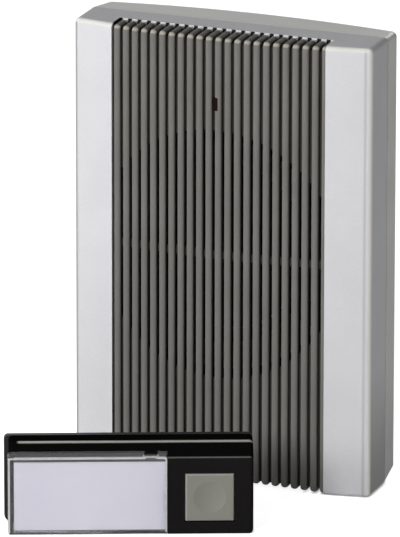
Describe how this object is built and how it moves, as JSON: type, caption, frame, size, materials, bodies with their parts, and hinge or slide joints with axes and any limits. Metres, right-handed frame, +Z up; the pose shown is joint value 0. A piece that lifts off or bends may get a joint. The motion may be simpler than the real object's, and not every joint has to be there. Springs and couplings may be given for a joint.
{
  "type": "wireless doorbell",
  "caption": "Upright battery door chime with a ribbed speaker grille wrapped over its top and bottom, and a separate bell push with a clear name cover and a square button.",
  "frame": {"origin": "on the chime's flat underside, half way across its width, in the middle of the strip between the grille's end and the parting seam that it stands on", "axes": "+Z up, along the chime's height; the fronts face -Y, the wall side is +Y; +X is to the right seen from the front"},
  "size_m": [0.1207, 0.12, 0.1773],
  "materials": {
    "silver": "satin painted",
    "grille": "fine matt",
    "rear_shell": "satin painted",
    "cell_jacket": "printed sleeve",
    "contact": "nickel plated",
    "wire": "insulated wire",
    "clear": "clear moulded",
    "led": "tinted epoxy",
    "steel": "zinc plated",
    "ferrite": "sintered",
    "cone": "pressed",
    "surround": "doped",
    "copper": "enamelled winding",
    "board": "solder mask",
    "chip": "moulded epoxy",
    "black": "satin black",
    "control": "moulded",
    "label": "card",
    "button": "fine matt",
    "pad": "moulded"
  },
  "bodies": {
    "chime": {"front_cover": "silver", "grille": "grille", "rear_housing": "rear_shell", "battery_terminals": "contact", "battery_bridges": "contact", "battery_leads": "wire", "light_guide": "clear", "indicator_led": "led", "speaker_frame": "steel", "speaker_top_plate": "steel", "speaker_magnet": "ferrite", "speaker_yoke": "steel", "speaker_surround": "surround", "speaker_clamps": "steel", "speaker_screws": "steel", "speaker_leads": "wire", "chime_board": "board", "board_screws": "steel", "case_screws": "steel", "receiver_chip": "chip", "capacitor": "chip", "chime_aerial": "copper", "volume_control": "steel", "melody_switch": "chip", "cell_1": "cell_jacket", "cell_2": "cell_jacket", "cell_3": "cell_jacket", "cell_4": "cell_jacket"},
    "battery_door": {"battery_door": "rear_shell"},
    "volume_wheel": {"volume_wheel": "control"},
    "melody_button": {"melody_button": "control"},
    "melody_plunger": {"melody_plunger": "control"},
    "speaker_cone": {"speaker_cone": "cone", "speaker_dust_cap": "cone", "voice_coil": "copper"},
    "push_base": {"push_base": "black"},
    "push": {"push_case": "black", "name_label": "label", "tact_switch": "chip", "push_board": "board", "push_screws": "steel", "coin_cell": "contact", "coin_contact": "contact", "coin_clip": "contact", "transmitter_chip": "chip", "push_aerial": "copper"},
    "name_cover": {"name_cover": "clear"},
    "push_button": {"push_button": "button", "button_pad": "pad"},
    "tact_plunger": {"tact_plunger": "control"}
  },
  "joints": [
    {"name": "battery_door_tilt", "type": "hinge", "parent": "chime", "child": "battery_door", "pos_m": [0, 0.019, 0.0052], "axis": [-1, 0, 0], "range_deg": [0, 70]},
    {"name": "volume_turn", "type": "hinge", "parent": "chime", "child": "volume_wheel", "pos_m": [-0.0527, 0.01195, 0.154], "axis": [0, 1, 0], "range_deg": [-135, 135]},
    {"name": "melody_press", "type": "slide", "parent": "chime", "child": "melody_button", "axis": [1, 0, 0], "range_m": [0, 0.0006], "stiffness_N_per_m": 800, "springref_m": -0.0006},
    {"name": "melody_plunger_press", "type": "slide", "parent": "chime", "child": "melody_plunger", "axis": [1, 0, 0], "range_m": [0, 0.0008]},
    {"name": "speaker_cone_stroke", "type": "slide", "parent": "chime", "child": "speaker_cone", "axis": [0, 1, 0], "range_m": [-0.0005, 0.0005], "stiffness_N_per_m": 900, "deforming": ["speaker_surround"]},
    {"name": "push_stand_slide", "type": "slide", "parent": "chime", "child": "push_base", "axis": [0.3832, -0.9237, 0], "range_m": [0, 0.2]},
    {"name": "push_case_pull_off", "type": "slide", "parent": "push_base", "child": "push", "axis": [0.3832, -0.9237, 0], "range_m": [0, 0.03]},
    {"name": "name_cover_pull_off", "type": "slide", "parent": "push", "child": "name_cover", "axis": [0.3832, -0.9237, 0], "range_m": [0, 0.015]},
    {"name": "push_button_press", "type": "slide", "parent": "push", "child": "push_button", "axis": [-0.3832, 0.9237, 0], "range_m": [0, 0.0006], "stiffness_N_per_m": 1500, "springref_m": -0.0008},
    {"name": "tact_plunger_press", "type": "slide", "parent": "push", "child": "tact_plunger", "axis": [-0.3832, 0.9237, 0], "range_m": [0, 0.00075]}
  ],
  "couplings": [
    {"joint": "melody_plunger_press", "follows": "melody_press", "ratio": 1},
    {"joint": "tact_plunger_press", "follows": "push_button_press", "ratio": 1}
  ]
}
